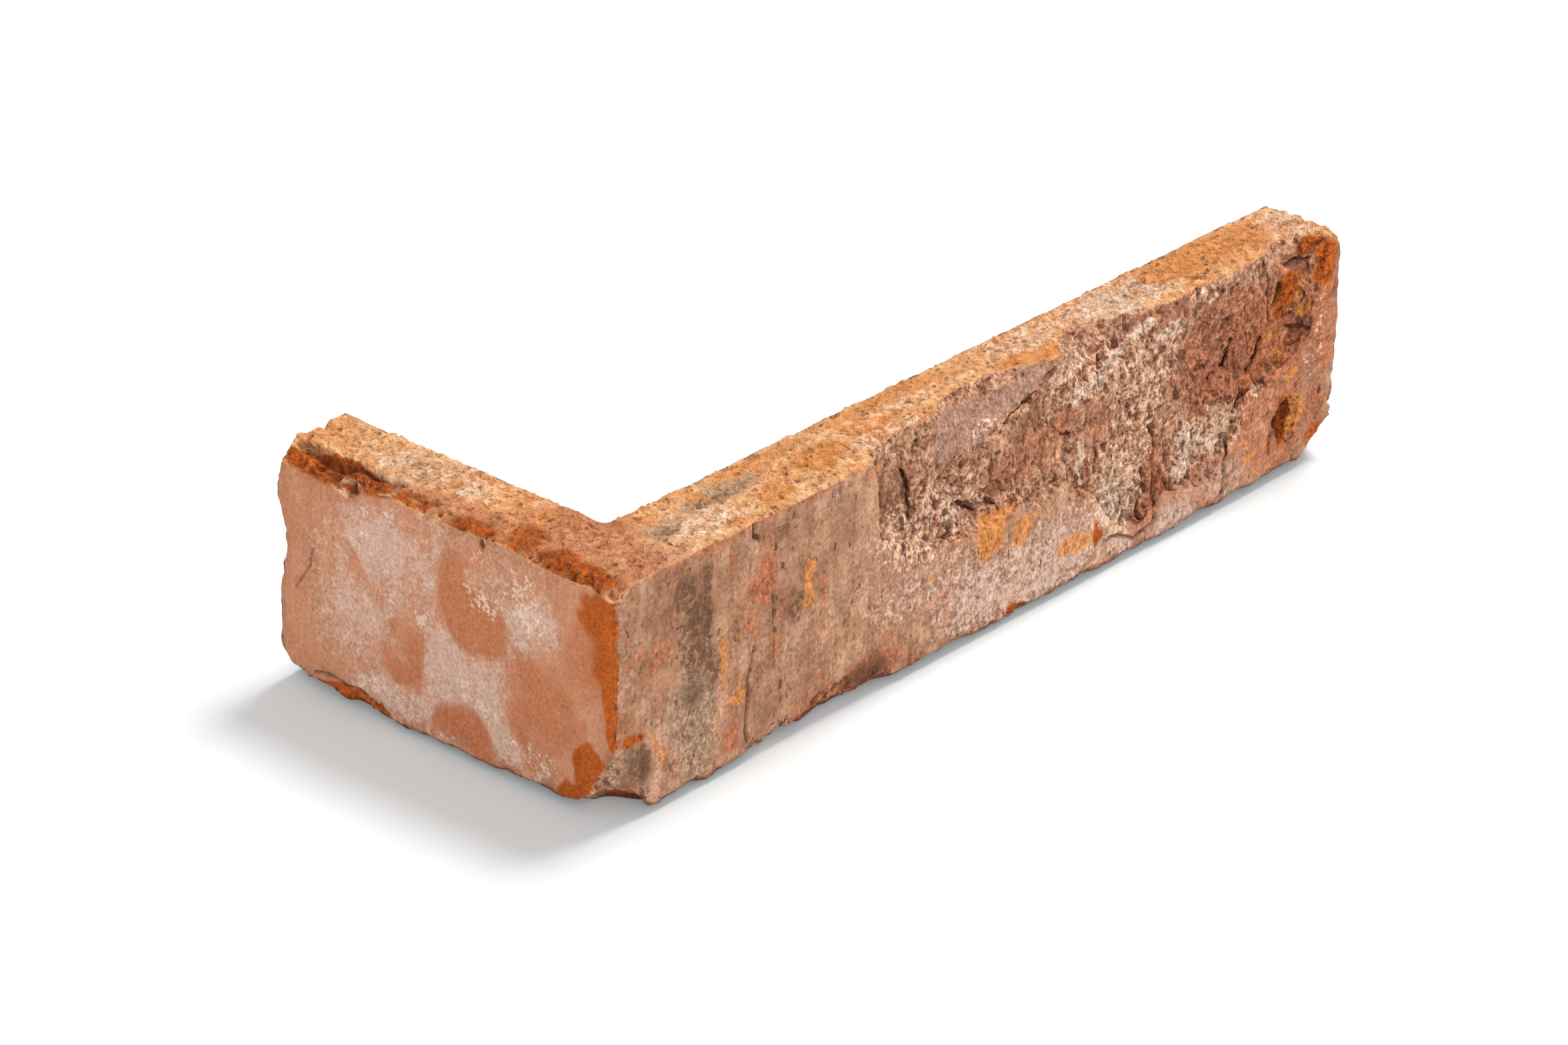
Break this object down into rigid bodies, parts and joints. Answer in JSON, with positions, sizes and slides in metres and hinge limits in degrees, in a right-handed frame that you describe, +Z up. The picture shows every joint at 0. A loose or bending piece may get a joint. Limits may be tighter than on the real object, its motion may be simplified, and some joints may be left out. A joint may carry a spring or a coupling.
{
  "type": "brick corner slip",
  "caption": "L-shaped corner slip sawn from a reclaimed clay brick, with worn and spalled outer faces and flat sawn backs, to face the corner of a wall.",
  "frame": {"origin": "middle of the slip's footprint, on its lower bed", "axes": "+X along the long stretcher leg from the wall's corner, +Y along the short header leg from the wall's corner, +Z up from the lower bed to the upper bed"},
  "size_m": [0.29, 0.117, 0.067],
  "materials": {
    "fired_clay": "rough, unglazed, weathered red clay with lime and soot stains"
  },
  "bodies": {
    "root": {"corner_slip": "fired_clay"}
  },
  "joints": []
}
